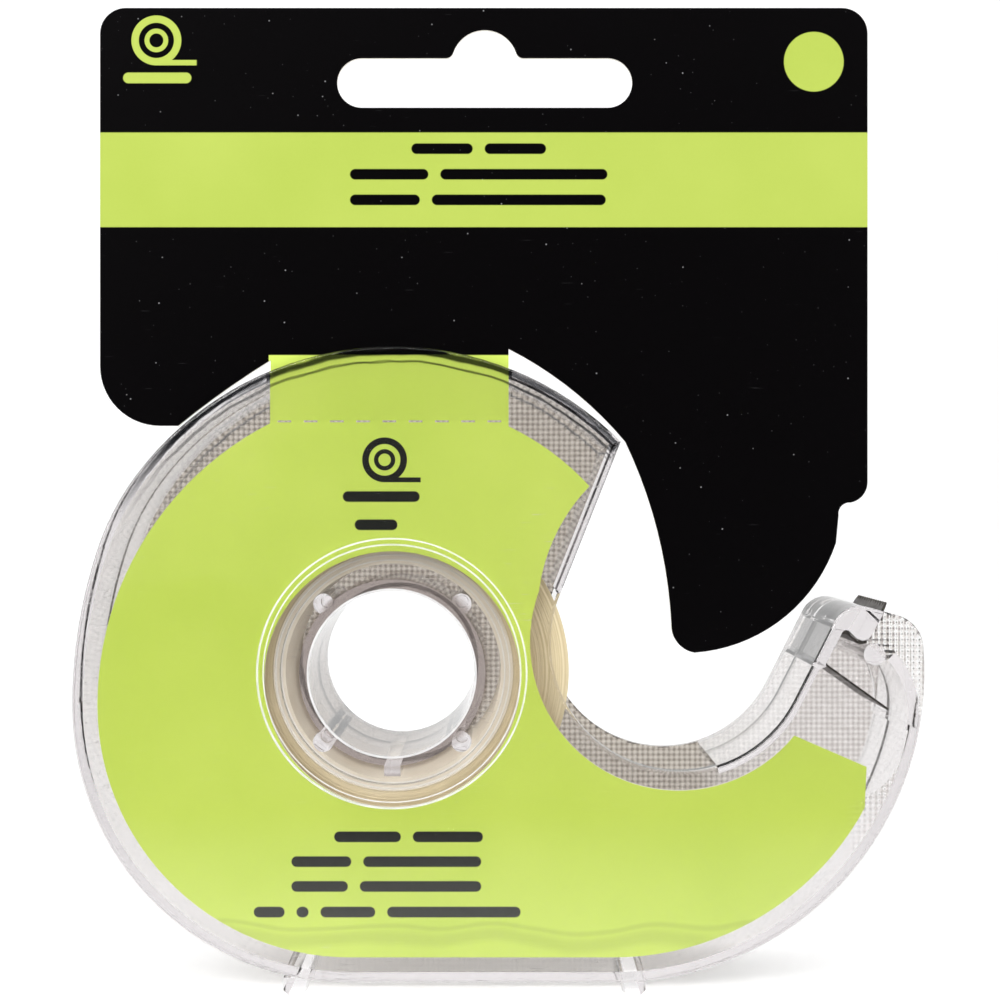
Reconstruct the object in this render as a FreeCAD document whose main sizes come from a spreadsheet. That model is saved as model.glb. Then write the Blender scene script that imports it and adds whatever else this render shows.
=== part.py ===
import FreeCAD, Part
import math
import os
import Sketcher

from FreeCAD import Vector

# Hand tape dispenser: two clear snail-shaped half shells round a roll of 12.7 mm tape, with a bent
# cutter blade in the nose and a printed card behind the front wall that carries on as a hang card.
# Frame: origin on the hub axis at mid width, +X towards the nose, +Y from the front wall to the back
# wall, +Z up. Millimetres.

doc = FreeCAD.newDocument("TapeDispenser")

driving_sizes = [
    ("frontWall", 1.2, "front wall"),
    ("backWall", 1.2, "back wall"),
    ("rimWall", 1.1, "wall that runs across the depth round the outline"),
    ("faceRound", 0.4, "outline rounded over on the outer faces"),
    ("partingDepth", 9.8, "front face to the plane where the shells meet"),
    ("partingGap", 0.04, "front shell short of that plane"),
    ("rimX", 0.1, "rim centre"),
    ("rimZ", 0.7, "rim centre"),
    ("rimRadius", 37.4, "crown of the outline"),
    ("sideFlattening", 20.6, "side arc radius over the rim radius"),
    ("shoulderTightening", 7.4, "shoulder arc radius under the rim radius"),
    ("heelTightening", 5.1, "heel arc radius under the rim radius"),
    ("baseRise", 0.6, "flat base above the lowest point of the rim circle"),
    ("toeReach", 25.8, "toe arc centre from the rim centre along X"),
    ("toeTightening", 1.2, "toe arc radius under the rim radius"),
    ("tipAngle", 4.9, "where the toe arc hands over to the nose tip, degrees"),
    ("tipRadius", 4.05, "nose tip"),
    ("landingBack", 3.35, "landing arc centre behind the tip centre"),
    ("landingRise", 1.6, "landing arc centre above the tip centre"),
    ("landingRadius", 3.4, "rounded shoulder that the tape is pulled over"),
    ("mouthRadius", 15.0, "finger mouth"),
    ("chinSpan", 2.68, "straight chin between the landing and the mouth"),
    ("mouthDrop", 0.85, "mouth centre below the landing centre"),
    ("mouthCorner", 159.0, "upper end of the mouth arc, degrees"),
    ("mouthWebStart", 287.0, "where the wall under the mouth begins, degrees"),
    ("mouthOpeningTurn", 0.5, "opening under the mouth starts past the mouth corner, degrees"),
    ("openingLap", 1.0, "openings in the nose run into each other, degrees"),
    ("rimCorner", 44.7, "right end of the crown, degrees"),
    ("boreRadius", 9.65, "finger bore through the hub"),
    ("hubWall", 1.25, "hub tube"),
    ("bossRadius", 1.2, "four peg bosses on the hub tube"),
    ("bossOffset", 1.75, "boss centres outside the bore"),
    ("pegRadius", 0.7, "peg inside each boss"),
    ("pegLength", 3.0, "peg past the parting plane"),
    ("pegClearance", 0.06, "peg to socket, radial"),
    ("keyWidth", 1.9, "locating key under the hub tube"),
    ("keyGap", 0.6, "end of the key to the core"),
    ("coreClearance", 0.1, "bosses to the bore of the one inch core, radial"),
    ("coreWall", 1.45, "core tube"),
    ("windingGap", 0.02, "core to tape"),
    ("windingDepth", 6.73, "15.24 m of 0.05 mm tape on this core"),
    ("rollClearance", 0.5, "roll to the wall beside the mouth"),
    ("tapeWidth", 12.7, "half inch tape"),
    ("rollSideGap", 1.0, "roll to the card and to the back wall"),
    ("spacerOffset", 0.8, "ring that keeps the roll off the walls, outside the core bore"),
    ("spacerWall", 0.6, "ring that keeps the roll off the walls"),
    ("spacerGap", 0.3, "spacer ring to the roll"),
    ("grooveOffset", 1.2, "groove on the outer front face, outside the core"),
    ("grooveWidth", 0.75, "groove round the hub"),
    ("grooveDepth", 0.3, "groove round the hub"),
    ("footWidth", 2.8, "feet"),
    ("footDrop", 1.5, "feet below the base"),
    ("footChamfer", 0.6, "feet"),
    ("footHeelX", -11.3, "rear foot"),
    ("footToeX", 28.2, "front foot"),
    ("footInset", 0.5, "foot ends in from the outer faces"),
    ("cardThickness", 0.35, "printed card"),
    ("cardGap", 0.05, "card to the front wall"),
    ("cardInset", 2.8, "card edge in from the outline"),
    ("cardCrownInset", 6.2, "card edge right of the tab, under the rim radius"),
    ("cardCrownTightening", 0.4, "card edge left of the tab, arc radius under the rim radius"),
    ("cardWebGap", 0.34, "pointed corner at the mouth, to the wall beside it"),
    ("cardPointSag", 1.1, "bulge of the edge that leads to the point"),
    ("cardThroat", 2.4, "card edge back from the mouth edge"),
    ("cardThroatTurn", 1.0, "card edge past the mouth corner, degrees"),
    ("cardThroatEnd", -39.0, "lower end of the card edge along the mouth, degrees"),
    ("cardTailTop", -20.6, "upper corner of the tail, degrees round the toe"),
    ("cardTailStep", 1.8, "upper corner of the tail in from the card edge"),
    ("cardTailLow", -28.5, "lower corner of the tail, degrees round the toe"),
    ("cardHoleOffset", 0.85, "hole round the hub, outside the core"),
    ("cardHoleDrop", 0.8, "hole centre below the hub axis"),
    ("tabLeft", -14.3, "tab through the rim"),
    ("tabRight", 13.6, "tab through the rim"),
    ("perforationDrop", 8.7, "tear line across the tab, under the crown"),
    ("slitLength", 1.6, "tear line slits"),
    ("slitPitch", 3.07, "tear line slits"),
    ("slitHeight", 0.24, "tear line slits"),
    ("slotSide", 0.4, "rim slot to the tab, each side"),
    ("slotBack", 0.1, "rim slot behind the tab"),
    ("headerLeftInset", 3.0, "hang card edge in from the left of the outline"),
    ("headerRightInset", 6.4, "hang card edge in from the right of the outline"),
    ("headerRise", 39.8, "hang card top over the crown"),
    ("headerShoulderDrop", 9.2, "lower left edge of the hang card, under the crown"),
    ("headerCorner", 3.0, "hang card top corners"),
    ("headerLowCorner", 7.0, "hang card lower left corner"),
    ("headerRimGap", 0.45, "hang card to the outline"),
    ("notchLeft", 0.85, "left root of the tab, further off the outline than the hang card"),
    ("notchRight", 1.75, "right root of the tab, further off the outline than the hang card"),
    ("edgeLeftGap", 0.05, "hang card edge left of the tab, further off the outline at its middle"),
    ("edgeLeftMiddle", 122.0, "middle of the edge left of the tab, degrees"),
    ("edgeRightGap", 0.75, "hang card edge right of the tab, further off the outline at its middle"),
    ("edgeRightMiddle", 57.0, "middle of the edge right of the tab, degrees"),
    ("lobeTurn", 0.6, "lobe begins before the right end of the crown, degrees"),
    ("lobeLeftBack", 0.8, "left side of the lobe, behind the mouth centre"),
    ("lobeLeftRise", 2.0, "left side of the lobe, above the mouth centre"),
    ("lobeFootAhead", 1.9, "foot of the lobe, ahead of the mouth centre"),
    ("lobeFootDrop", 1.3, "foot of the lobe, below the mouth centre"),
    ("lobeRightAhead", 18.5, "right side of the lobe, ahead of the mouth centre"),
    ("lobeRightRise", 11.6, "right side of the lobe, above the mouth centre"),
    ("lobeTopBulge", 1.1, "bulge of the edge from the crown to the lobe"),
    ("lobeLeftBulge", 0.8, "hollow of the lobe's left corner"),
    ("lobeFootBulge", 3.2, "hollow of the lobe's lower right side"),
    ("notchStep", 0.3, "top of the lobe's right side, ahead of its low end"),
    ("notchRise", 3.2, "top of the lobe's right side, above its low end"),
    ("notchBulge", 0.5, "rounding of the notch"),
    ("ledgeInset", 2.0, "ledge over the notch, in from the right edge"),
    ("ledgeRise", 1.5, "ledge over the notch"),
    ("ledgeBulge", 0.6, "rounding of the lower right corner"),
    ("rightEdgeRise", 4.0, "low end of the right edge, over the notch"),
    ("hangShift", 0.1, "hang slot right of the middle of the card"),
    ("hangDrop", 8.8, "hang slot centre under the top edge"),
    ("hangLength", 34.6, "hang slot"),
    ("hangHeight", 5.8, "hang slot"),
    ("hangBump", 3.9, "round top of the hang slot"),
    ("hangBumpRise", 2.3, "centre of the round top above the slot centre"),
    ("hangFillet", 0.9, "corners beside the round top"),
    ("bladeThickness", 0.25, "cutter blade"),
    ("bladeOverhang", 0.15, "cutter blade past each edge of the tape"),
    ("bladeGap", 0.06, "cutter blade to the nose block"),
    ("bladeEdgeAhead", 0.4, "tooth edge, ahead of the tip centre"),
    ("bladeEdgeRise", 5.24, "tooth edge, above the tip centre"),
    ("bladeDipBack", 2.58, "bend behind the edge, behind the tip centre"),
    ("bladeDipDrop", 0.1, "bend behind the edge, below the tip centre"),
    ("bladeDipBend", 0.95, "bend behind the edge"),
    ("bladeCrestBack", 4.93, "bend over the lobe, behind the tip centre"),
    ("bladeCrestRise", 2.2, "bend over the lobe, above the tip centre"),
    ("bladeCrestBend", 0.75, "bend over the lobe"),
    ("bladeHeelBack", 7.08, "bend at the landing, behind the tip centre"),
    ("bladeHeelDrop", 1.95, "bend at the landing, below the tip centre"),
    ("bladeHeelBend", 0.45, "bend at the landing"),
    ("bladeTailAhead", 0.37, "inner end, ahead of the tip centre"),
    ("bladeTailDrop", 7.3, "inner end, below the tip centre"),
    ("blockFootBack", 3.5, "foot of the nose block, behind the bend at the landing"),
    ("blockFootDrop", 1.2, "foot of the nose block, below the bend at the landing"),
    ("toothPitch", 1.0, "cutter teeth"),
    ("toothHeight", 0.7, "cutter teeth"),
    ("toothLand", 0.06, "flat point of a tooth"),
    ("postRadius", 1.3, "locating post in the nose"),
    ("postBack", 1.48, "locating post behind the tip centre"),
    ("postDrop", 0.7, "locating post below the tip centre"),
    ("postGap", 0.05, "locating post to the front wall"),
    ("bandBack", 6.5, "centre of the curved nose band behind the tip centre"),
    ("bandDrop", 7.4, "centre of the curved nose band below the tip centre"),
    ("bandRadius", 10.15, "curved nose band"),
    ("bandWall", 1.3, "curved nose band"),
    ("bandLow", -10.0, "lower end of the nose band, degrees"),
    ("bandHigh", 43.0, "upper end of the nose band, degrees"),
    ("bandRoot", 4.0, "nose band runs on into the rim, degrees"),
    ("cutMargin", 0.4, "cuts run past the wall they open"),
]

sheet = doc.addObject("Spreadsheet::Sheet", "Sizes")
for row, (alias, value, note) in enumerate(driving_sizes, start=1):
    sheet.set(f"A{row}", alias)
    sheet.set(f"B{row}", str(value))
    sheet.setAlias(f"B{row}", alias)
    sheet.set(f"C{row}", note)
doc.recompute()


class Sizes:
    """Reads a driving size from the sheet by its alias."""

    def __getattr__(self, alias):
        return float(sheet.get(alias))


s = Sizes()


def amount(expression):
    """The value of an expression on the sheet."""
    return float(sheet.evalExpression(expression))


body_depth = ("(Sizes.frontWall + Sizes.cardGap + Sizes.cardThickness + 2 * Sizes.rollSideGap"
              " + Sizes.tapeWidth + Sizes.backWall)")
front_face = f"-{body_depth} / 2"
front_inside = f"{front_face} + Sizes.frontWall"
parting = f"{front_face} + Sizes.partingDepth"
back_inside = f"{body_depth} / 2 - Sizes.backWall"
front_rim_length = "Sizes.partingDepth - Sizes.frontWall - Sizes.partingGap"
back_rim_length = f"{body_depth} - Sizes.partingDepth - Sizes.backWall"
card_front = f"{front_inside} + Sizes.cardGap"
roll_front = f"{card_front} + Sizes.cardThickness + Sizes.rollSideGap"
core_bore = "Sizes.boreRadius + Sizes.bossOffset + Sizes.bossRadius + Sizes.coreClearance"
core_outside = f"{core_bore} + Sizes.coreWall"
roll_outside = f"{core_outside} + Sizes.windingGap + Sizes.windingDepth"


# Plane geometry: points are (x, z) pairs, angles in degrees counted from +X towards +Z.

def polar(centre, radius, degrees):
    angle = math.radians(degrees)
    return (centre[0] + radius * math.cos(angle), centre[1] + radius * math.sin(angle))


def direction(start, end):
    return math.degrees(math.atan2(end[1] - start[1], end[0] - start[0]))


def distance(start, end):
    return math.hypot(end[0] - start[0], end[1] - start[1])


def line(start, end):
    return Part.LineSegment(Vector(start[0], start[1], 0), Vector(end[0], end[1], 0))


def arc(centre, radius, start_degrees, end_degrees):
    """Arc counted from start to end in the turning sense X to Z."""
    circle = Part.Circle(Vector(centre[0], centre[1], 0), Vector(0, 0, 1), radius)
    return Part.ArcOfCircle(circle, math.radians(start_degrees), math.radians(end_degrees))


def arc_through(start, middle, end):
    return Part.Arc(*(Vector(point[0], point[1], 0) for point in (start, middle, end)))


def bulged(start, end, sagitta):
    """Arc whose middle stands off the chord by the sagitta, to the left of the way it runs."""
    length = distance(start, end)
    normal = ((start[1] - end[1]) / length, (end[0] - start[0]) / length)
    middle = ((start[0] + end[0]) / 2 + normal[0] * sagitta, (start[1] + end[1]) / 2 + normal[1] * sagitta)
    return arc_through(start, middle, end)


def circles_meet(first, first_radius, second, second_radius):
    """The meeting point of two circles that lies to the left of the line between their centres."""
    gap = distance(first, second)
    along = (gap ** 2 + first_radius ** 2 - second_radius ** 2) / (2 * gap)
    across = math.sqrt(first_radius ** 2 - along ** 2)
    foot = polar(first, along, direction(first, second))
    return polar(foot, across, direction(first, second) + 90)


def line_meets_circle(start, degrees, centre, radius, near):
    """Where a line through start meets a circle, the meeting nearer to the given point."""
    ux, uz = math.cos(math.radians(degrees)), math.sin(math.radians(degrees))
    dx, dz = start[0] - centre[0], start[1] - centre[1]
    half = dx * ux + dz * uz
    root = math.sqrt(half ** 2 - (dx ** 2 + dz ** 2 - radius ** 2))
    meetings = [(start[0] + t * ux, start[1] + t * uz) for t in (-half - root, -half + root)]
    return min(meetings, key=lambda point: distance(point, near))


rim = (s.rimX, s.rimZ)
left_x = s.rimX - s.rimRadius
base_z = s.rimZ - s.rimRadius + s.baseRise
side_radius = s.rimRadius + s.sideFlattening
shoulder_radius = s.rimRadius - s.shoulderTightening
heel_radius = s.rimRadius - s.heelTightening
toe_radius = s.rimRadius - s.toeTightening
heel = (left_x + heel_radius, base_z + heel_radius)
side = (left_x + side_radius, heel[1])
shoulder = circles_meet(rim, s.rimRadius - shoulder_radius, side, side_radius - shoulder_radius)
toe = (s.rimX + s.toeReach, base_z + toe_radius)
tip = polar(toe, toe_radius - s.tipRadius, s.tipAngle)
landing = (tip[0] - s.landingBack, tip[1] + s.landingRise)
mouth = (landing[0] - s.landingRadius - s.chinSpan - s.mouthRadius, landing[1] - s.mouthDrop)
crown_z = s.rimZ + s.rimRadius
perforation_z = crown_z - s.perforationDrop
mouth_corner = polar(mouth, s.mouthRadius, s.mouthCorner)
rim_corner = polar(rim, s.rimRadius, s.rimCorner)
rim_end = direction(rim, shoulder)
shoulder_end = direction(side, shoulder)
nose_normal = direction(tip, landing) - math.degrees(
    math.acos((s.tipRadius - s.landingRadius) / distance(tip, landing)))
chin_normal = direction(landing, mouth) % 360 - math.degrees(
    math.acos((s.mouthRadius + s.landingRadius) / distance(landing, mouth)))


def outline(inset):
    """The snail outline moved inwards by the inset, as one closed run of lines and arcs."""
    crown_radius = s.rimRadius - inset
    throat_radius = s.mouthRadius + inset
    web = direction(mouth_corner, rim_corner)
    web_start = polar(mouth_corner, inset, web + 90)
    low = line_meets_circle(web_start, web, mouth, throat_radius, mouth_corner)
    high = line_meets_circle(web_start, web, rim, crown_radius, rim_corner)
    return [
        arc(rim, crown_radius, direction(rim, high), rim_end),
        arc(shoulder, shoulder_radius - inset, rim_end, shoulder_end),
        arc(side, side_radius - inset, shoulder_end, 180),
        arc(heel, heel_radius - inset, 180, 270),
        line((heel[0], base_z + inset), (toe[0], base_z + inset)),
        arc(toe, toe_radius - inset, -90, s.tipAngle),
        arc(tip, s.tipRadius - inset, s.tipAngle, nose_normal),
        line(polar(tip, s.tipRadius - inset, nose_normal),
             polar(landing, s.landingRadius - inset, nose_normal)),
        arc(landing, s.landingRadius - inset, nose_normal, chin_normal),
        line(polar(landing, s.landingRadius - inset, chin_normal),
             polar(mouth, throat_radius, chin_normal + 180)),
        arc(mouth, throat_radius, direction(mouth, low), chin_normal + 180),
        line(low, high),
    ]


def sector(centre, inner, outer, start_degrees, end_degrees):
    return [
        arc(centre, outer, start_degrees, end_degrees),
        arc(centre, inner, start_degrees, end_degrees),
        line(polar(centre, inner, start_degrees), polar(centre, outer, start_degrees)),
        line(polar(centre, inner, end_degrees), polar(centre, outer, end_degrees)),
    ]


def polygon(*points):
    return [line(start, end) for start, end in zip(points, points[1:] + points[:1])]


def rectangle(left, right, low, high):
    return polygon((left, low), (right, low), (right, high), (left, high))


def full_circle(centre, radius):
    return [Part.Circle(Vector(centre[0], centre[1], 0), Vector(0, 0, 1), radius)]


# Helpers for the document.

def new_body(label):
    body = doc.addObject("PartDesign::Body", label + "_body")
    body.Label = label
    return body


def new_sketch(body, name, y_level, drawing):
    """A sketch across the hub axis at the given depth, with the drawing fixed in place."""
    sketch = body.newObject("Sketcher::SketchObject", name + "_sketch")
    plane = next(feature for feature in body.Origin.OriginFeatures if feature.Role == "XZ_Plane")
    sketch.AttachmentSupport = (plane, [""])
    sketch.MapMode = "FlatFace"
    sketch.setExpression("AttachmentOffset.Base.z", f"-({y_level})")
    sketch.addGeometry(drawing, False)
    return sketch


def bind_circle(sketch, index, radius):
    """Ties one circle to the hub axis and its radius to an expression on the sheet."""
    sketch.addConstraint(Sketcher.Constraint("Coincident", index, 3, -1, 1))
    number = sketch.addConstraint(Sketcher.Constraint("Radius", index, amount(radius)))
    sketch.setExpression(f"Constraints[{number}]", radius)


def pad(body, name, y_level, length, drawing):
    """Material from the given depth towards the back."""
    sketch = new_sketch(body, name, y_level, drawing)
    feature = body.newObject("PartDesign::Pad", name)
    feature.Profile = sketch
    feature.Reversed = True
    feature.setExpression("Length", length)
    sketch.Visibility = False
    doc.recompute()
    return sketch


def pocket(body, name, y_level, length, drawing, must_cut=True):
    """A cut from the given depth towards the back; a clearance cut may find nothing in its way."""
    before = body.Shape.Volume
    sketch = new_sketch(body, name, y_level, drawing)
    feature = body.newObject("PartDesign::Pocket", name)
    feature.Profile = sketch
    feature.setExpression("Length", length)
    doc.recompute()
    if must_cut and not body.Shape.Volume < before:
        raise RuntimeError(f"{name} cuts nothing")
    return sketch


# Features that both shells share.

band_centre = (tip[0] - s.bandBack, tip[1] - s.bandDrop)


def shell_wall(body, y_level, length, outer_face):
    """The side wall with the finger bore, rounded over along the outline of its outer face."""
    sketch = pad(body, "wall", y_level, length, outline(0) + full_circle((0, 0), s.boreRadius))
    bind_circle(sketch, len(outline(0)), "Sizes.boreRadius")
    doc.recompute()
    depth = amount(outer_face)
    face = next(face for face in body.Shape.Faces if abs(face.CenterOfMass.y - depth) < face.Tolerance)
    names = [f"Edge{number}" for number, edge in enumerate(body.Shape.Edges, start=1)
             if any(edge.isSame(outer) for outer in face.OuterWire.Edges)]
    wall = body.Tip
    rounding = body.newObject("PartDesign::Fillet", "face_round")
    rounding.Base = (wall, names)
    rounding.setExpression("Radius", "Sizes.faceRound")
    doc.recompute()


def shell_rim(body, y_level, length):
    """The wall across the depth, open under the mouth, round the nose tip and where the blade comes out."""
    pad(body, "rim", y_level, length, outline(0) + outline(s.rimWall))
    margin = s.cutMargin
    pocket(body, "mouth_opening", y_level, length,
           sector(mouth, s.mouthRadius - margin, s.mouthRadius + s.rimWall + margin,
                  s.mouthCorner + s.mouthOpeningTurn - 360, s.mouthWebStart - 360))
    pocket(body, "roll_clearance", y_level, length,
           full_circle((0, 0), amount(roll_outside) + s.rollClearance), must_cut=False)
    open_low = direction(toe, polar(band_centre, s.bandRadius, s.bandLow))
    pocket(body, "nose_opening", y_level, length,
           sector(toe, toe_radius - s.rimWall - margin, toe_radius + margin, open_low, s.tipAngle))
    inner, outer = s.tipRadius - s.rimWall - margin, s.tipRadius + margin
    pocket(body, "tip_opening", y_level, length,
           sector(tip, inner, outer, s.tipAngle - s.openingLap, nose_normal))
    shoulder_inner, shoulder_outer = s.landingRadius - s.rimWall - margin, s.landingRadius + margin
    pocket(body, "blade_opening", y_level, length,
           polygon(polar(tip, outer, nose_normal), polar(landing, shoulder_outer, nose_normal),
                   polar(landing, shoulder_inner, nose_normal), polar(tip, inner, nose_normal)))
    pad(body, "nose_band", y_level, length,
        sector(band_centre, s.bandRadius - s.bandWall, s.bandRadius, s.bandLow - s.bandRoot, s.bandHigh))


# The blade's path, from the tooth edge down over the lobe and into the nose, as (point, bend radius).
blade_path = [
    ((tip[0] + s.bladeEdgeAhead, tip[1] + s.bladeEdgeRise), 0.0),
    ((tip[0] - s.bladeDipBack, tip[1] - s.bladeDipDrop), s.bladeDipBend),
    ((tip[0] - s.bladeCrestBack, tip[1] + s.bladeCrestRise), s.bladeCrestBend),
    ((tip[0] - s.bladeHeelBack, tip[1] - s.bladeHeelDrop), s.bladeHeelBend),
    ((tip[0] + s.bladeTailAhead, tip[1] - s.bladeTailDrop), 0.0),
]


def rounded_path(points, shift):
    """Lines and tangent arcs along a bent strip, moved to the left of its run by the shift."""
    runs = [(points[i][0], points[i + 1][0]) for i in range(len(points) - 1)]
    moved = []
    for start, end in runs:
        side_way = direction(start, end) + 90
        moved.append((polar(start, shift, side_way), polar(end, shift, side_way)))
    vertices = [moved[0][0]]
    for (a, b), (c, d) in zip(moved, moved[1:]):
        first, second = math.radians(direction(a, b)), math.radians(direction(c, d))
        cross = math.cos(first) * math.sin(second) - math.sin(first) * math.cos(second)
        t = ((c[0] - a[0]) * math.sin(second) - (c[1] - a[1]) * math.cos(second)) / cross
        vertices.append((a[0] + t * math.cos(first), a[1] + t * math.sin(first)))
    vertices.append(moved[-1][1])
    edges = []
    cursor = vertices[0]
    for index in range(1, len(vertices) - 1):
        here = vertices[index]
        incoming = direction(vertices[index - 1], here)
        outgoing = direction(here, vertices[index + 1])
        turn = (outgoing - incoming + 180) % 360 - 180
        radius = points[index][1] - math.copysign(shift, turn)
        cut = radius * math.tan(math.radians(abs(turn)) / 2)
        entry = polar(here, -cut, incoming)
        leave = polar(here, cut, outgoing)
        edges.append(line(cursor, entry))
        centre = polar(entry, radius, incoming + math.copysign(90, turn))
        start_angle, end_angle = direction(centre, entry), direction(centre, leave)
        if turn < 0:
            start_angle, end_angle = end_angle, start_angle
        if end_angle < start_angle:
            end_angle += 360
        edges.append(arc(centre, radius, start_angle, end_angle))
        cursor = leave
    edges.append(line(cursor, vertices[-1]))
    return edges, vertices[0], vertices[-1]


def open_chain(*points):
    return [line(start, end) for start, end in zip(points, points[1:])]


def closed_edges(shape):
    """A flat shape's outer edges as lines and arcs for a sketch."""
    drawing = []
    for edge in shape.Faces[0].OuterWire.Edges:
        first, last = edge.Vertexes[0].Point, edge.Vertexes[-1].Point
        if isinstance(edge.Curve, Part.Line):
            drawing.append(Part.LineSegment(first, last))
        else:
            middle = edge.valueAt((edge.FirstParameter + edge.LastParameter) / 2)
            drawing.append(Part.Arc(first, middle, last))
    return drawing


def flat_face(drawing):
    return Part.Face(Part.Wire(Part.__sortEdges__([geometry.toShape() for geometry in drawing])))


def nose_block():
    """The solid shoulder between the outline and the outer side of the blade, with the lobe in its bend."""
    shift = -(s.bladeThickness / 2 + s.bladeGap)
    edges, top, _ = rounded_path(blade_path, shift)
    edges = edges[:-1]
    heel_end = edges[-1].EndPoint
    low = (heel_end.x, heel_end.y)
    foot = (low[0] - s.blockFootBack, low[1] - s.blockFootDrop)
    edges += open_chain(low, foot, (mouth[0], foot[1]), (mouth[0], crown_z), (top[0], crown_z), top)
    return closed_edges(flat_face(edges).common(flat_face(outline(0))))


def boss_centres():
    return [polar((0, 0), s.boreRadius + s.bossOffset, degrees) for degrees in (45, 135, 225, 315)]


def shell_hub(body, y_level, length):
    tube = pad(body, "hub_tube", y_level, length,
               full_circle((0, 0), s.boreRadius) + full_circle((0, 0), s.boreRadius + s.hubWall))
    bind_circle(tube, 0, "Sizes.boreRadius")
    for number, centre in enumerate(boss_centres()):
        pad(body, f"peg_boss_{number}", y_level, length, full_circle(centre, s.bossRadius))
    half = s.keyWidth / 2
    key_end = s.keyGap - amount(core_bore)
    pad(body, "key", y_level, length, rectangle(-half, half, key_end, -s.boreRadius - s.hubWall / 2))


def spacer(body, y_level, length):
    middle = amount(core_bore) + s.spacerOffset
    inner, outer = middle - s.spacerWall / 2, middle + s.spacerWall / 2
    pad(body, "spacer", y_level, length, full_circle((0, 0), inner) + full_circle((0, 0), outer))


def shell_feet(body, y_level, length):
    for name, x in (("heel_foot", s.footHeelX), ("toe_foot", s.footToeX)):
        half, low, high = s.footWidth / 2, base_z - s.footDrop, base_z + s.rimWall / 2
        pad(body, name, y_level, length, polygon(
            (x - half, high), (x - half, low + s.footChamfer), (x - half + s.footChamfer, low),
            (x + half - s.footChamfer, low), (x + half, low + s.footChamfer), (x + half, high)))


def make_front_shell():
    body = new_body("front_shell")
    shell_wall(body, front_face, "Sizes.frontWall", front_face)
    shell_rim(body, front_inside, front_rim_length)
    pad(body, "nose_block", front_inside, front_rim_length, nose_block())
    shell_hub(body, front_inside, front_rim_length)
    sockets = [shape for centre in boss_centres()
               for shape in full_circle(centre, s.pegRadius + s.pegClearance)]
    pocket(body, "peg_sockets", f"{parting} - Sizes.pegLength - Sizes.pegClearance",
           "Sizes.pegLength + Sizes.pegClearance", sockets)
    spacer(body, front_inside, f"{roll_front} - Sizes.spacerGap - ({front_inside})")
    groove = amount(core_outside) + s.grooveOffset
    pocket(body, "hub_groove", front_face, "Sizes.grooveDepth",
           full_circle((0, 0), groove - s.grooveWidth / 2) + full_circle((0, 0), groove + s.grooveWidth / 2))
    shell_feet(body, f"{front_face} + Sizes.footInset",
               "Sizes.partingDepth - Sizes.partingGap - Sizes.footInset")
    pocket(body, "card_slot", front_inside, "Sizes.cardGap + Sizes.cardThickness + Sizes.slotBack",
           rectangle(s.tabLeft - s.slotSide, s.tabRight + s.slotSide, perforation_z, crown_z + s.cutMargin))
    return body


def make_back_shell():
    body = new_body("back_shell")
    shell_wall(body, back_inside, "Sizes.backWall", f"{body_depth} / 2")
    shell_rim(body, parting, back_rim_length)
    pad(body, "nose_block", parting, back_rim_length, nose_block())
    shell_hub(body, parting, back_rim_length)
    pegs = [shape for centre in boss_centres() for shape in full_circle(centre, s.pegRadius)]
    pad(body, "pegs", f"{parting} - Sizes.pegLength", "Sizes.pegLength", pegs)
    roll_back = f"{roll_front} + Sizes.tapeWidth + Sizes.spacerGap"
    spacer(body, roll_back, f"{back_inside} - ({roll_back})")
    pad(body, "locating_post", f"{front_inside} + Sizes.postGap",
        f"{back_inside} - ({front_inside}) - Sizes.postGap",
        full_circle((tip[0] - s.postBack, tip[1] - s.postDrop), s.postRadius))
    shell_feet(body, parting, f"{body_depth} - Sizes.partingDepth - Sizes.footInset")
    return body


def make_ring(label, inner, outer):
    """A tube across the tape's width, both radii bound to the sheet."""
    body = new_body(label)
    sketch = pad(body, "ring", roll_front, "Sizes.tapeWidth",
                 full_circle((0, 0), amount(inner)) + full_circle((0, 0), amount(outer)))
    bind_circle(sketch, 0, inner)
    bind_circle(sketch, 1, outer)
    doc.recompute()
    return body


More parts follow.
